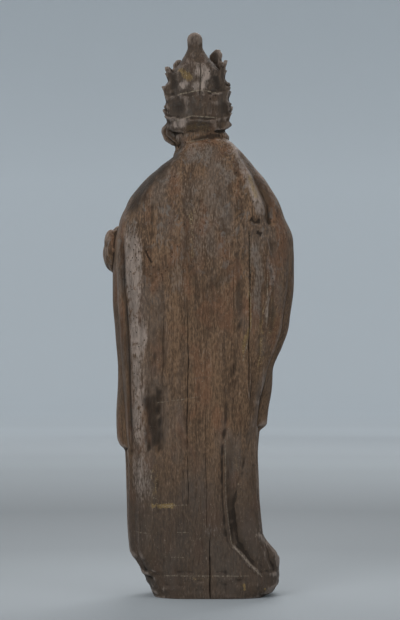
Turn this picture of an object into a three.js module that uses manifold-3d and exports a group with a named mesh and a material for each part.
// A standing saint in a cope and a three-crowned tiara, carved with its low base from a single log.
// Millimetres, +Z up. The figure looks along -Y, and its own left hand is at +X.
// The origin is on the floor, under the middle of the figure's width and depth.
import * as THREE from 'three';
import { mergeVertices } from 'three/addons/utils/BufferGeometryUtils.js';
import Module from 'manifold-3d';

const { clamp, lerp, degToRad, radToDeg } = THREE.MathUtils;
const wasm = await Module();
wasm.setup();

// How far behind the origin stands the plane from which the log's front and back are set out
const LOG_PLANE_Y = 24.2;

// Heights above the floor
const BASE_TOP = 41;
const LEFT_HEM = 250;
const RIGHT_HEM = 305;
const FOREARM = 580;
const CLASP = 672;
const COLLAR_TOP = 787;
const CHIN = 724;
const CROWN_BAND = 786;

// The log's outline seen from behind, as [height, distance from the middle plane]
const LEFT_SIDE = [
  [0, 76], [20, 83], [41, 93], [78, 118], [168, 123], [246, 126], [390, 136], [457, 142],
  [520, 146], [580, 144], [625, 136], [661, 126], [695, 105], [729, 71], [763, 37], [787, 30],
];
const RIGHT_SIDE = [
  [0, 110], [8, 122], [22, 133], [44, 137], [60, 140], [72, 133], [88, 120], [134, 105],
  [219, 101], [284, 104], [389, 120], [423, 138], [474, 153], [560, 160], [593, 159],
  [644, 143], [695, 121], [746, 82], [770, 55], [787, 38],
];
// How far the cope's hanging lappets stand out past that outline above their hems
const LEFT_LAPPET = [[246, 0], [264, 9], [304, 9], [400, 0]];
const RIGHT_LAPPET = [[298, 0], [310, 11], [340, 9], [400, 0]];
// Where the front and back faces stand, as [height, y], and the plane of the greatest width
const FRONT_FACE = [
  [0, -98], [34, -104], [40, -104], [44, -88], [90, -80], [250, -74], [450, -70], [600, -74],
  [665, -72], [700, -60], [722, -46], [740, -30], [765, -6], [787, 4],
];
const BACK_FACE = [
  [0, 80], [41, 81], [44, 78], [300, 80], [560, 80], [660, 76], [720, 66], [765, 52], [787, 42],
];
const WIDEST_PLANE = [[0, -6], [560, -10], [680, 2], [765, 20], [787, 22]];
const FRONT_ROUNDNESS = 2.3;
const BACK_ROUNDNESS = 3.4;

// Drapery, in degrees round the figure: where the cope's open edge runs at each height, the column
// of the loft that follows it, and the width of one fold of the alb and of the cope
const COPE_EDGE = [[120, 40], [300, 44], [480, 49], [560, 46], [630, 30], [690, 7], [720, 4]];
const EDGE_COLUMN = 42;
const FOLD_WIDTH = 18;
const PLEAT_WIDTH = 18;
const FOLD_DEPTH_LOW = 14;
const FOLD_DEPTH_HIGH = 4;
const PLEAT_DEPTH = 9;
const COPE_THICKNESS = 9;
const HEM_WAVE = 9;
const SHOULDER = 710;
// The bent right knee and the cloth over the forearms, which stand out from the front
const KNEE = { x: -42, z: 335, width: 30, height: 85, rise: 15 };
const FOREARM_RISE = 26;

// The hewn back: how far each edge of its flat panel stands from the middle plane, the column of
// the loft that follows it, and the groove beside the trailing fold on the right
const LEFT_PANEL_EDGE = [
  [0, 60], [60, 76], [200, 82], [340, 88], [500, 97], [640, 106], [720, 62], [787, 10],
];
const RIGHT_PANEL_EDGE = [
  [0, 110], [45, 92], [83, 64], [134, 53], [200, 50], [300, 58], [420, 76], [600, 90], [690, 86],
  [745, 48], [787, 10],
];
const PANEL_COLUMN = 132;
const PANEL_DEPTH = 5;
const PANEL_EDGE_RISE = 3;
const GROOVE_DEPTH = 15;

// The head
const HEAD_X = 2;
const HEAD_Y = -2;
const FACE_HALF_WIDTH = [[690, 24], [712, 31], [730, 36], [755, 40], [780, 41], [812, 40]];
const FACE_DEPTH = [[690, 26], [704, 46], [722, 56], [734, 52], [750, 50], [772, 47], [784, 51], [812, 49]];
const SKULL_DEPTH = [[690, 34], [740, 40], [812, 44]];
const HEAD_ROUNDNESS = 2.2;
const FACE_CROWDING = 0.6;
const EYE_HEIGHT = CHIN + 46;
const EYE_SPREAD = 15.5;
const NOSE_FOOT = CHIN + 27;
const MOUTH_HEIGHT = CHIN + 17;
const HAIR_DEPTH = 7;
const LOCK_PROFILE = [[0, -0.6], [0.35, -0.6], [0.75, -1], [1, 0], [0.75, 1], [0.35, 0.6], [0, 0.6]];
const FACE_RISE = { nose: 14, brow: 3, socket: -5, eye: 7, cheek: 2.5, lips: 3, moustache: 3 };

// The tiara: a lathe-turned cap as [radius, height above the band], and its leafy crowns
const TIARA_TILT = 6;
const TIARA_DEPTH_RATIO = 1.07;
const TIARA_PROFILE = [
  [0, -4], [41, -4], [45, 2], [43, 6], [44, 16], [47, 20], [46, 24], [40, 26], [43, 42], [45, 58],
  [44, 62], [37, 64], [37, 78], [32, 94], [34, 98], [33, 102], [27, 105], [20, 122], [12, 142],
  [10.5, 150], [12.5, 157], [12.5, 166], [8, 173], [0, 174.6],
];
const CROWNS = [
  { height: 20, radius: 43, leaf: 1.0, flare: 30 },
  { height: 58, radius: 41, leaf: 1.1, flare: 28 },
  { height: 97, radius: 31, leaf: 1.35, flare: 24 },
];
const LEAF_ANGLES = [-132, -92, -46, 0, 46, 92, 132];
const LEAF_TURN = 7;
const LEAF_OUTLINE = [[5, 0], [6, 7], [13, 9], [13, 14], [7, 19]];
const LEAF_TIP = 31;
const LEAF_THICKNESS = 10;
const LEAF_CURL = 5;

const oak = new THREE.MeshStandardMaterial({ color: 0x5a483b, roughness: 0.62, metalness: 0 });

// A soft step: 0 at from, 1 at to, whichever of them is the greater.
function ease(value, from, to) {
  const t = clamp((value - from) / (to - from), 0, 1);
  return t * t * (3 - 2 * t);
}

const bump = (distance, width) => Math.exp(-((distance / width) ** 2));
const ridge = (turns) => Math.abs(Math.cos(Math.PI * turns));

// A smooth curve through [height, value] pairs that never swings past them.
function curve(points) {
  const steps = points.slice(1).map(([z, v], i) => (v - points[i][1]) / (z - points[i][0]));
  const slopes = points.map((_, i) => {
    const [before, after] = [steps[i - 1] ?? 0, steps[i] ?? 0];
    return before * after > 0 ? (2 * before * after) / (before + after) : 0;
  });
  return (z) => {
    const last = points.length - 2;
    const i = Math.max(0, Math.min(last, points.findIndex(([level]) => level > z) - 1));
    const k = z >= points[last + 1][0] ? last : i;
    const span = points[k + 1][0] - points[k][0];
    const t = Math.max(0, Math.min(1, (z - points[k][0]) / span));
    const left = points[k][1] + t * span * slopes[k];
    const right = points[k + 1][1] - (1 - t) * span * slopes[k + 1];
    return lerp(left, right, t * t * (3 - 2 * t));
  };
}

// The two sides of the figure
const LEFT = {
  sign: 1,
  hem: LEFT_HEM,
  outline: curve(LEFT_SIDE),
  lappet: curve(LEFT_LAPPET),
  panel: curve(LEFT_PANEL_EDGE),
};
const RIGHT = {
  sign: -1,
  hem: RIGHT_HEM,
  outline: curve(RIGHT_SIDE),
  lappet: curve(RIGHT_LAPPET),
  panel: curve(RIGHT_PANEL_EDGE),
};
const frontFace = curve(FRONT_FACE);
const backFace = curve(BACK_FACE);
const widestPlane = curve(WIDEST_PLANE);
const copeEdge = curve(COPE_EDGE);
const faceHalfWidth = curve(FACE_HALF_WIDTH);
const faceDepth = curve(FACE_DEPTH);
const skullDepth = curve(SKULL_DEPTH);

// A closed geometry as a solid that can be joined and cut.
function solid(geometry) {
  const bare = geometry.clone();
  bare.deleteAttribute('normal');
  bare.deleteAttribute('uv');
  const merged = mergeVertices(bare, 1e-3);
  return new wasm.Manifold(new wasm.Mesh({
    numProp: 3,
    vertProperties: merged.getAttribute('position').array,
    triVerts: new Uint32Array(merged.index.array),
  }));
}

// A geometry turned, scaled and moved into its place on the figure.
function placed(geometry, { at = [0, 0, 0], turn = [0, 0, 0], scale = [1, 1, 1] }) {
  const rotation = new THREE.Euler(...turn.map(degToRad), 'ZYX');
  const matrix = new THREE.Matrix4().compose(
    new THREE.Vector3(...at),
    new THREE.Quaternion().setFromEuler(rotation),
    new THREE.Vector3(...scale),
  );
  return solid(geometry.clone().applyMatrix4(matrix));
}

// A round bar with round ends between two points.
function bar(from, to, radius, sides = 5) {
  const [a, b] = [new THREE.Vector3(...from), new THREE.Vector3(...to)];
  const along = b.clone().sub(a);
  const geometry = new THREE.CapsuleGeometry(radius, along.length(), 2, sides);
  const turn = new THREE.Quaternion().setFromUnitVectors(
    new THREE.Vector3(0, 1, 0),
    along.clone().normalize(),
  );
  geometry.applyQuaternion(turn).translate(...a.add(b).multiplyScalar(0.5).toArray());
  return solid(geometry);
}

// Levels for a loft: each [height, rows] stretch runs from the one before it.
function levels(start, ...stretches) {
  const heights = [start];
  for (const [end, rows] of stretches) {
    const from = heights.at(-1);
    for (let i = 1; i <= rows; i++) heights.push(lerp(from, end, i / rows));
  }
  return heights;
}

// A column of wood shaped by place(angle, height, reach): angle 0 is the front and 90 degrees the
// figure's left, and reach is 0 at the middle of an end face. Columns crowd towards the front.
function loft(columns, heights, crowding, place) {
  const rows = heights.length - 1;
  const geometry = new THREE.CylinderGeometry(1, 1, 1, columns, rows);
  const position = geometry.getAttribute('position');
  for (let i = 0; i < position.count; i++) {
    const [across, up, forward] = [position.getX(i), position.getY(i), position.getZ(i)];
    const even = Math.atan2(across, forward);
    const angle = even - crowding * Math.sin(even);
    const reach = Math.hypot(across, forward) > 0.5 ? 1 : 0;
    position.setXYZ(i, ...place(angle, heights[Math.round((up + 0.5) * rows)], reach));
  }
  return solid(geometry);
}

// How far a rounded rectangle reaches at an angle.
function reachOf(angle, half, depth, power) {
  const across = Math.abs(Math.sin(angle) / half) ** power;
  const along = Math.abs(Math.cos(angle) / depth) ** power;
  return (across + along) ** (-1 / power);
}

// The angle at which a column of the loft runs: it bends with the cope's edge in front and with the
// edge of the flat panel behind, and turns evenly in between.
function columnAngle(column, z, panelEdge, backDepth) {
  const knots = [
    [0, 0],
    [EDGE_COLUMN, copeEdge(z)],
    [90, 90],
    [PANEL_COLUMN, 180 - radToDeg(Math.atan2(panelEdge, backDepth))],
    [180, 180],
  ];
  const k = Math.max(1, knots.findIndex(([at]) => at >= column));
  const [[from, low], [to, high]] = [knots[k - 1], knots[k]];
  return degToRad(lerp(low, high, (column - from) / (to - from)));
}

// How far the drapery stands out from the log on one column of one side: the alb's tube folds, and
// over them the pleated cope. Where the cloth turns to the side, the folds are cut into the outline.
function drapery(side, column, z, facing) {
  const beyondEdge = ease(column, EDGE_COLUMN, EDGE_COLUMN + 4);
  const onCope = beyondEdge * ease(z, side.hem - 3, side.hem + 3);
  const fold = ridge(column / FOLD_WIDTH);
  const foldDepth = lerp(FOLD_DEPTH_LOW, FOLD_DEPTH_HIGH, ease(z, 120, 600));
  const alb = foldDepth * (fold - lerp(1, 0.5, facing)) * ease(z, BASE_TOP, BASE_TOP + 6);
  const pleat = ridge((column - EDGE_COLUMN) / PLEAT_WIDTH);
  const pleats = PLEAT_DEPTH * (pleat - lerp(1, 0.6, facing)) * ease(z, 620, 500);
  const hung = lerp(alb, COPE_THICKNESS * facing + pleats, onCope);
  return hung * ease(z, SHOULDER + 20, SHOULDER - 20) * ease(column, PANEL_COLUMN - 6, PANEL_COLUMN - 36);
}

// How far the limbs under the cloth push it out of the front.
function limbs(x, z) {
  const knee = KNEE.rise * bump(x - KNEE.x, KNEE.width) * bump(z - KNEE.z, KNEE.height);
  const rising = FOREARM + 0.12 * (110 - Math.abs(x));
  const forearm = FOREARM_RISE * bump(z - rising, 30) * ease(Math.abs(x), 40, 90);
  return knee + forearm;
}

// Relief of the back on one column of one side: the flat hewn panel inside the cope's edge ridges,
// and the groove that parts it from the trailing fold on the right.
function backRelief(side, column, z) {
  const inPanel = ease(column, PANEL_COLUMN - 1, PANEL_COLUMN + 5);
  const panel = PANEL_DEPTH * inPanel * ease(z, BASE_TOP - 2, BASE_TOP + 4) * ease(z, 760, 660);
  const onEdge = bump(column - PANEL_COLUMN + 7, 6) * ease(z, 100, 260) * ease(z, 740, 640);
  const trailing = side === RIGHT ? ease(z, 360, 210) * ease(z, 30, 52) : 0;
  const groove = GROOVE_DEPTH * bump(column - PANEL_COLUMN + 4, 5) * trailing;
  return PANEL_EDGE_RISE * onEdge - panel - groove;
}

// One point of the robe: the rounded section of the log, with the relief of its side.
function robePoint(turn, level, reach) {
  const side = turn >= 0 ? LEFT : RIGHT;
  const column = Math.abs(radToDeg(turn));
  const wave = ridge((column - EDGE_COLUMN) / PLEAT_WIDTH) * ease(column, 110, 85);
  const onHem = bump(level - side.hem, 14) * ease(column, EDGE_COLUMN, EDGE_COLUMN + 8);
  const z = level + HEM_WAVE * wave * onHem;
  const widest = widestPlane(z);
  const backDepth = backFace(z) - widest;
  const middle = (LEFT.outline(z) - RIGHT.outline(z)) / 2;
  const angle = columnAngle(column, z, side.panel(z) - side.sign * middle, backDepth);
  const forward = Math.cos(angle);
  const half = side.outline(z) - side.sign * middle + side.lappet(z) * ease(forward, -0.4, 0);
  const inFront = forward > 0;
  const section = inFront
    ? reachOf(angle, half, widest - frontFace(z), FRONT_ROUNDNESS)
    : reachOf(angle, half, backDepth, BACK_ROUNDNESS);
  const facing = ease(forward, 0.08, 0.4);
  const ownSide = middle + side.sign * section * Math.sin(angle);
  const pushed = inFront ? facing * limbs(ownSide, z) : backRelief(side, column, z);
  const radius = reach * (section + drapery(side, column, z, facing) + pushed);
  return [middle + side.sign * radius * Math.sin(angle), widest - radius * forward, z];
}

// The robed body with its base, from the floor to the standing collar.
function robe() {
  const heights = levels(
    0, [8, 1], [22, 1], [38, 1], [44, 1], [72, 2], [134, 2], [245, 3], [255, 1], [300, 2], [310, 1],
    [420, 3], [540, 3], [620, 3], [700, 4], [COLLAR_TOP, 4],
  );
  return loft(60, heights, 0, robePoint);
}

// Relief of the face: calm and evenly proportioned, with a moustache and a close beard.
function faceRelief(x, z) {
  const side = Math.abs(x);
  const fromEye = side - EYE_SPREAD;
  const noseRise = ease(z, EYE_HEIGHT + 10, NOSE_FOOT + 3) * ease(z, NOSE_FOOT - 3, NOSE_FOOT + 2);
  const nose = noseRise * bump(x, lerp(4, 7, noseRise));
  const brow = bump(z - EYE_HEIGHT - 10 + (fromEye / 11) ** 2, 4) * ease(side, 2, 8);
  const socket = bump(fromEye, 9) * bump(z - EYE_HEIGHT, 6.5);
  const eye = bump(fromEye, 6) * bump(z - EYE_HEIGHT + 1, 4);
  const cheek = bump(side - 23, 9) * bump(z - EYE_HEIGHT + 15, 9);
  const lips = bump(z - MOUTH_HEIGHT, 4.5) * bump(x, 10);
  const moustache = bump(z - MOUTH_HEIGHT - 6 + 0.35 * side, 3.5) * bump(side - 9, 9);
  const features = { nose, brow, socket, eye, cheek, lips, moustache };
  return Object.keys(features).reduce((sum, name) => sum + FACE_RISE[name] * features[name], 0);
}

// The head: face, beard and the hair that falls beside it below the tiara.
function head() {
  const heights = levels(690, [722, 3], [740, 3], [785, 10], [812, 2]);
  return loft(36, heights, FACE_CROWDING, (angle, z, reach) => {
    const depth = Math.cos(angle) > 0 ? faceDepth(z) : skullDepth(z);
    const base = reachOf(angle, faceHalfWidth(z), depth, HEAD_ROUNDNESS);
    const facing = ease(Math.cos(angle), 0.1, 0.55);
    const degrees = Math.abs(radToDeg(angle));
    const besideFace = ease(degrees, 58, 72) * ease(degrees, 150, 120);
    const falling = ease(z, 712, 736) * ease(z, CROWN_BAND + 4, CROWN_BAND - 12);
    const waves = 1 + 0.25 * Math.cos(angle * 14 + z / 7);
    const hair = HAIR_DEPTH * besideFace * falling * waves;
    const radius = reach * (base + facing * faceRelief(base * Math.sin(angle), z) + hair);
    return [HEAD_X + radius * Math.sin(angle), HEAD_Y - radius * Math.cos(angle), z];
  });
}

// One leaf of a crown: a lobed outline of even thickness, standing on its foot, its tip curled out.
function leafGeometry() {
  const right = LEAF_OUTLINE.map(([x, y]) => new THREE.Vector2(x, y));
  const left = LEAF_OUTLINE.map(([x, y]) => new THREE.Vector2(-x, y)).reverse();
  const shape = new THREE.Shape([...right, new THREE.Vector2(0, LEAF_TIP), ...left]);
  const leaf = new THREE.ExtrudeGeometry(shape, { depth: LEAF_THICKNESS, bevelEnabled: false });
  leaf.translate(0, -5, -LEAF_THICKNESS / 2).rotateX(Math.PI / 2);
  const position = leaf.getAttribute('position');
  for (let i = 0; i < position.count; i++) {
    const rise = Math.max(0, position.getZ(i)) / LEAF_TIP;
    position.setY(i, position.getY(i) - LEAF_CURL * rise ** 2);
  }
  return leaf;
}

// The tiara with its crowns, hewn flat behind, tilted back on the head.
function tiara() {
  const points = TIARA_PROFILE.map(([radius, height]) => new THREE.Vector2(radius, height));
  const cap = new THREE.LatheGeometry(points, 20).rotateX(Math.PI / 2);
  let made = placed(cap, { scale: [1, TIARA_DEPTH_RATIO, 1] });
  const leaf = leafGeometry();
  CROWNS.forEach((crown, tier) => {
    LEAF_ANGLES.forEach((leafAngle, i) => {
      const degrees = leafAngle + LEAF_TURN * tier;
      const [across, forward] = [Math.sin(degToRad(degrees)), Math.cos(degToRad(degrees))];
      const wear = crown.leaf * (0.9 + 0.1 * Math.cos(5 * i + 3 * tier));
      made = made.add(placed(leaf, {
        at: [crown.radius * across, -crown.radius * TIARA_DEPTH_RATIO * forward, crown.height],
        turn: [crown.flare, 0, degrees],
        scale: [wear, 1, wear],
      }));
    });
  });
  const chip = new THREE.BoxGeometry(200, 60, 46);
  made = made.subtract(placed(chip, { at: [0, 66, 90], turn: [-8, 0, 0] }));
  made = made.subtract(placed(chip, { at: [0, 70, 47], turn: [6, 0, 4] }));
  return made.rotate([-TIARA_TILT, 0, 0]).translate([HEAD_X, HEAD_Y + 4, CROWN_BAND]);
}

// The folded neck cloth that stands round the throat.
function neckCloth() {
  const ring = new THREE.TorusGeometry(40, 9, 6, 16);
  return placed(ring, { at: [HEAD_X, 2, 712], turn: [14, 0, 0], scale: [1.05, 1.05, 1] });
}

// The rolled locks that stand out beside the ears, under the tiara.
function curls() {
  const points = LOCK_PROFILE.map(([radius, along]) => new THREE.Vector2(radius, along));
  const lock = new THREE.LatheGeometry(points, 10);
  const left = placed(lock, { at: [44, 0, 787], turn: [0, 20, 22], scale: [19, 14, 23] });
  const right = placed(lock, { at: [-37, 0, 785], turn: [0, -16, -22], scale: [15, 14, 21] });
  return left.add(right);
}

// The boss that clasps the cope on the breast.
function clasp() {
  const points = [[0, 0], [19, 0], [21, 5], [17, 9], [12, 10], [8, 14], [0, 16]];
  const boss = new THREE.LatheGeometry(points.map(([r, h]) => new THREE.Vector2(r, h)), 12);
  return placed(boss, { at: [0, -66, CLASP], turn: [168, 0, 0] });
}

// The closed book carried before the breast.
function book() {
  const boards = new THREE.BoxGeometry(74, 26, 96);
  return placed(boards, { at: [12, -98, 596], turn: [-8, 12, 0] });
}

// A sleeve cuff and a hand whose fingers lie side by side along the book.
function hand(side, wrist, palm, reach, spread) {
  const cuff = bar([side * 104, -74, FOREARM - 4], wrist, 22, 10);
  let made = cuff.add(bar(wrist, palm, 13, 8));
  for (let finger = 0; finger < 4; finger++) {
    const [from, to] = [palm, reach].map(([x, y, z]) => {
      const offset = (finger - 1.5) * 8;
      return [x + offset * spread[0], y + offset * spread[1], z + offset * spread[2]];
    });
    made = made.add(bar(from, to, 5));
  }
  return made;
}

// The wide left sleeve, whose rounded elbow stands out beyond the cope's edge.
function sleeve() {
  const lobe = new THREE.SphereGeometry(1, 12, 8);
  return placed(lobe, { at: [138.4, -48, 587], turn: [6, 0, 8], scale: [20, 62, 37] });
}

// The toes of two plain shoes below the hem.
function shoes() {
  const toe = new THREE.SphereGeometry(1, 8, 6);
  const left = placed(toe, { at: [30, -88, BASE_TOP + 7], turn: [0, 0, 14], scale: [15, 24, 11] });
  const right = placed(toe, { at: [-44, -86, BASE_TOP + 7], turn: [0, 0, -16], scale: [15, 24, 11] });
  return left.add(right);
}

// The whole figure as one piece of wood.
function statue() {
  const leftHand = hand(1, [66, -104, 566], [40, -110, 556], [2, -114, 566], [0, 0, 1]);
  const rightHand = hand(-1, [-62, -108, 596], [-34, -116, 604], [4, -118, 612], [0, 0, 1]);
  const pieces = [
    head(), curls(), tiara(), neckCloth(), clasp(), book(), leftHand, rightHand, sleeve(), shoes(),
  ];
  return pieces.reduce((whole, piece) => whole.add(piece), robe()).translate([0, LOG_PLANE_Y, 0]);
}

// A joined solid as a mesh that can be drawn.
function meshOf(name, made, material) {
  const { vertProperties, triVerts } = made.getMesh();
  const geometry = new THREE.BufferGeometry();
  geometry.setAttribute('position', new THREE.BufferAttribute(vertProperties, 3));
  geometry.setIndex(new THREE.BufferAttribute(triVerts, 1));
  geometry.computeVertexNormals();
  const mesh = new THREE.Mesh(geometry, material);
  mesh.name = name;
  return mesh;
}

const figure = new THREE.Group();
figure.add(meshOf('statue', statue(), oak));
export default figure;
